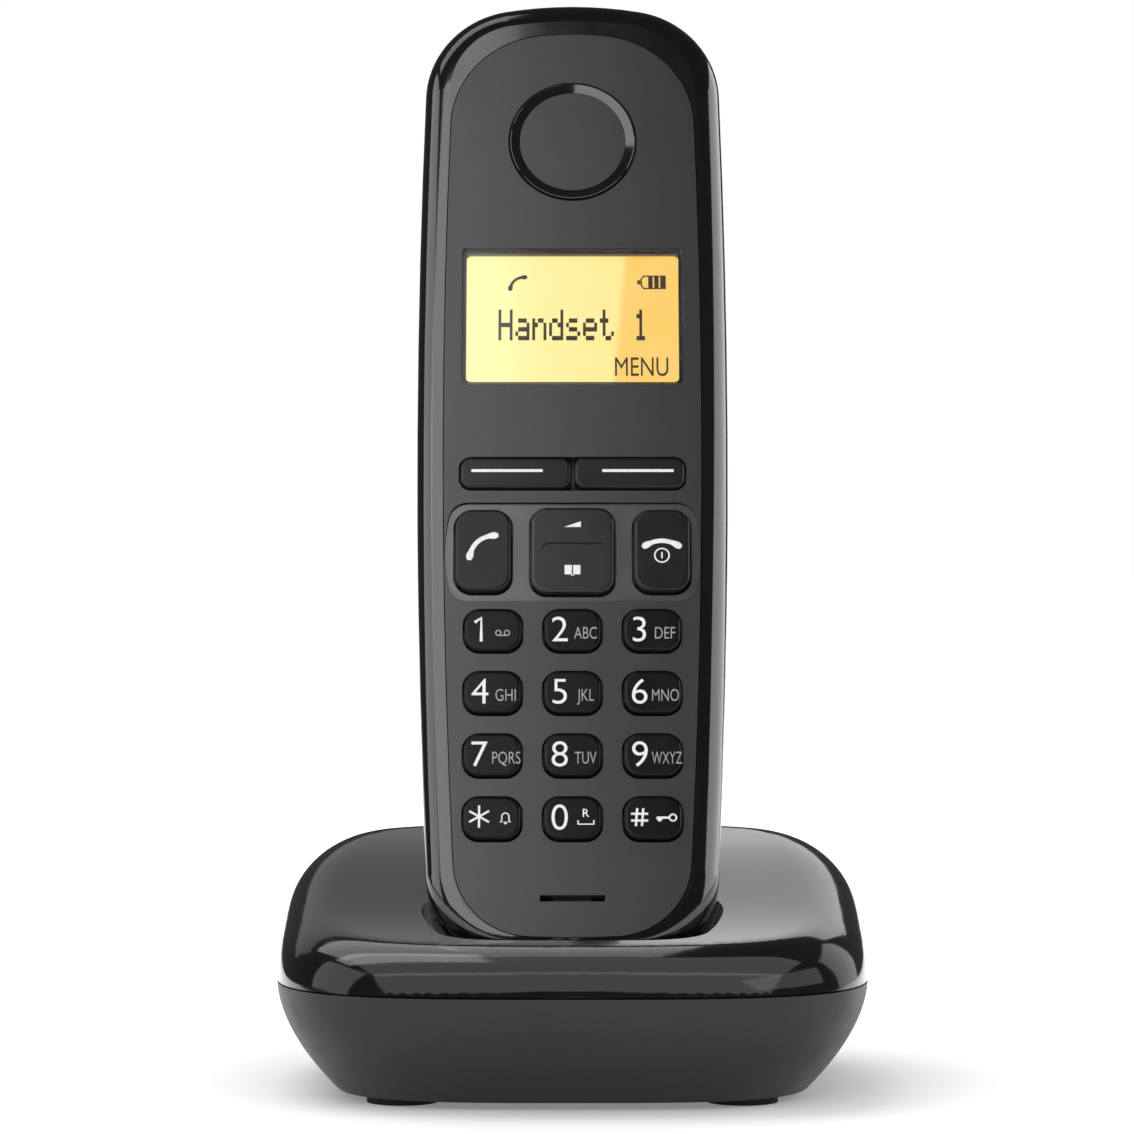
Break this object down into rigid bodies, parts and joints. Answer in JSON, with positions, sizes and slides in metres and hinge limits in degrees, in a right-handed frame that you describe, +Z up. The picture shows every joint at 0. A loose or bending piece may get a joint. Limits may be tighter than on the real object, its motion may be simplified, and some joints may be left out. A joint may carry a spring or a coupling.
{
  "type": "cordless telephone with charging base",
  "caption": "Cordless phone standing in its charging base: slim handset with display, keypad and battery bay on a rounded desk base with two rear sockets.",
  "frame": {"origin": "on the desk surface under the middle of the base", "axes": "+X to the user's right, +Y to the back, +Z up; the keypad faces -Y"},
  "size_m": [0.092, 0.0856, 0.1718],
  "materials": {
    "handset_gloss": "high gloss black moulded plastic",
    "handset_matte": "fine satin texture, dark grey",
    "key_plastic": "satin black with white legends",
    "basin_gloss": "polished dark grey trim",
    "window": "clear hard-coated window",
    "lcd": "amber backlit display glass",
    "light_guide": "amber light guide",
    "silicone": "moulded silicone",
    "spring_steel": "bare steel",
    "board": "green solder mask",
    "chips": "black packages and tinned cans",
    "speaker": "black frame, grey cone",
    "bay_plastic": "unpainted black moulding",
    "cell": "printed sleeve on a steel can",
    "contact_plate": "nickel-plated contact",
    "screw": "zinc-plated screw",
    "base_gloss": "high gloss black moulded plastic",
    "base_matte": "fine eroded texture, dark grey",
    "foot_rubber": "soft rubber",
    "socket_plastic": "black nylon"
  },
  "bodies": {
    "base": {"base_cover": "base_gloss", "base_bottom": "base_matte", "base_feet": "foot_rubber", "base_screws": "screw", "base_board": "board", "base_components": "chips", "base_aerial": "spring_steel", "line_socket": "socket_plastic", "line_contacts": "contact_plate", "power_socket": "socket_plastic", "power_contacts": "contact_plate", "contact_carrier": "bay_plastic", "page_switch": "chips"},
    "handset": {"rear_shell": "handset_gloss", "face_panel": "handset_matte", "basin_trim": "basin_gloss", "earpiece_cap": "handset_matte", "display_window": "window", "lcd_glass": "lcd", "lcd_backlight": "light_guide", "keypad_mat": "silicone", "key_domes": "spring_steel", "handset_board": "board", "handset_components": "chips", "handset_aerial": "spring_steel", "earpiece_speaker": "speaker", "microphone": "speaker", "ringer_speaker": "speaker", "battery_bay": "bay_plastic", "battery_plates": "contact_plate", "battery_springs": "spring_steel", "battery_cell_left": "cell", "battery_cell_right": "cell", "handset_screws": "screw", "charge_pad_left": "contact_plate", "charge_pad_right": "contact_plate"},
    "key_1": {"key_1": "key_plastic"},
    "key_2": {"key_2": "key_plastic"},
    "key_3": {"key_3": "key_plastic"},
    "key_4": {"key_4": "key_plastic"},
    "key_5": {"key_5": "key_plastic"},
    "key_6": {"key_6": "key_plastic"},
    "key_7": {"key_7": "key_plastic"},
    "key_8": {"key_8": "key_plastic"},
    "key_9": {"key_9": "key_plastic"},
    "key_star": {"key_star": "key_plastic"},
    "key_0": {"key_0": "key_plastic"},
    "key_hash": {"key_hash": "key_plastic"},
    "soft_key_left": {"soft_key_left": "key_plastic"},
    "soft_key_right": {"soft_key_right": "key_plastic"},
    "talk_key": {"talk_key": "key_plastic"},
    "end_key": {"end_key": "key_plastic"},
    "nav_rocker": {"nav_rocker": "key_plastic"},
    "battery_door": {"battery_door": "handset_gloss"},
    "page_button": {"page_button": "key_plastic"},
    "charge_pin_left": {"charge_pin_left": "contact_plate"},
    "charge_pin_right": {"charge_pin_right": "contact_plate"}
  },
  "joints": [
    {"name": "handset_lift", "type": "slide", "parent": "base", "child": "handset", "axis": [0, 0.3338, 0.9426], "range_m": [0, 0.06]},
    {"name": "key_1_press", "type": "slide", "parent": "handset", "child": "key_1", "axis": [0, 0.9426, -0.3338], "range_m": [0, 0.0007], "stiffness_N_per_m": 1500, "springref_m": -0.0002},
    {"name": "key_2_press", "type": "slide", "parent": "handset", "child": "key_2", "axis": [0, 0.9426, -0.3338], "range_m": [0, 0.0007], "stiffness_N_per_m": 1500, "springref_m": -0.0002},
    {"name": "key_3_press", "type": "slide", "parent": "handset", "child": "key_3", "axis": [0, 0.9426, -0.3338], "range_m": [0, 0.0007], "stiffness_N_per_m": 1500, "springref_m": -0.0002},
    {"name": "key_4_press", "type": "slide", "parent": "handset", "child": "key_4", "axis": [0, 0.9426, -0.3338], "range_m": [0, 0.0007], "stiffness_N_per_m": 1500, "springref_m": -0.0002},
    {"name": "key_5_press", "type": "slide", "parent": "handset", "child": "key_5", "axis": [0, 0.9426, -0.3338], "range_m": [0, 0.0007], "stiffness_N_per_m": 1500, "springref_m": -0.0002},
    {"name": "key_6_press", "type": "slide", "parent": "handset", "child": "key_6", "axis": [0, 0.9426, -0.3338], "range_m": [0, 0.0007], "stiffness_N_per_m": 1500, "springref_m": -0.0002},
    {"name": "key_7_press", "type": "slide", "parent": "handset", "child": "key_7", "axis": [0, 0.9426, -0.3338], "range_m": [0, 0.0007], "stiffness_N_per_m": 1500, "springref_m": -0.0002},
    {"name": "key_8_press", "type": "slide", "parent": "handset", "child": "key_8", "axis": [0, 0.9426, -0.3338], "range_m": [0, 0.0007], "stiffness_N_per_m": 1500, "springref_m": -0.0002},
    {"name": "key_9_press", "type": "slide", "parent": "handset", "child": "key_9", "axis": [0, 0.9426, -0.3338], "range_m": [0, 0.0007], "stiffness_N_per_m": 1500, "springref_m": -0.0002},
    {"name": "key_star_press", "type": "slide", "parent": "handset", "child": "key_star", "axis": [0, 0.9426, -0.3338], "range_m": [0, 0.0007], "stiffness_N_per_m": 1500, "springref_m": -0.0002},
    {"name": "key_0_press", "type": "slide", "parent": "handset", "child": "key_0", "axis": [0, 0.9426, -0.3338], "range_m": [0, 0.0007], "stiffness_N_per_m": 1500, "springref_m": -0.0002},
    {"name": "key_hash_press", "type": "slide", "parent": "handset", "child": "key_hash", "axis": [0, 0.9426, -0.3338], "range_m": [0, 0.0007], "stiffness_N_per_m": 1500, "springref_m": -0.0002},
    {"name": "soft_key_left_press", "type": "slide", "parent": "handset", "child": "soft_key_left", "axis": [0, 0.9426, -0.3338], "range_m": [0, 0.0007], "stiffness_N_per_m": 1500, "springref_m": -0.0002},
    {"name": "soft_key_right_press", "type": "slide", "parent": "handset", "child": "soft_key_right", "axis": [0, 0.9426, -0.3338], "range_m": [0, 0.0007], "stiffness_N_per_m": 1500, "springref_m": -0.0002},
    {"name": "talk_key_press", "type": "slide", "parent": "handset", "child": "talk_key", "axis": [0, 0.9426, -0.3338], "range_m": [0, 0.0007], "stiffness_N_per_m": 1500, "springref_m": -0.0002},
    {"name": "end_key_press", "type": "slide", "parent": "handset", "child": "end_key", "axis": [0, 0.9426, -0.3338], "range_m": [0, 0.0007], "stiffness_N_per_m": 1500, "springref_m": -0.0002},
    {"name": "nav_rocker_tilt", "type": "hinge", "parent": "handset", "child": "nav_rocker", "pos_m": [0, -0.00923, 0.08315], "axis": [1, 0, 0], "range_deg": [-2, 2], "stiffness_Nm_per_rad": 0.4},
    {"name": "battery_door_lift", "type": "slide", "parent": "handset", "child": "battery_door", "axis": [0, 0.9426, -0.3338], "range_m": [0, 0.02]},
    {"name": "page_button_press", "type": "slide", "parent": "base", "child": "page_button", "axis": [0, -1, 0], "range_m": [0, 0.0007], "stiffness_N_per_m": 1200, "springref_m": -0.0002},
    {"name": "charge_pin_left_press", "type": "slide", "parent": "base", "child": "charge_pin_left", "axis": [0, -0.3338, -0.9426], "range_m": [0, 0.0006], "stiffness_N_per_m": 800, "springref_m": -0.0001},
    {"name": "charge_pin_right_press", "type": "slide", "parent": "base", "child": "charge_pin_right", "axis": [0, -0.3338, -0.9426], "range_m": [0, 0.0006], "stiffness_N_per_m": 800, "springref_m": -0.0001}
  ]
}
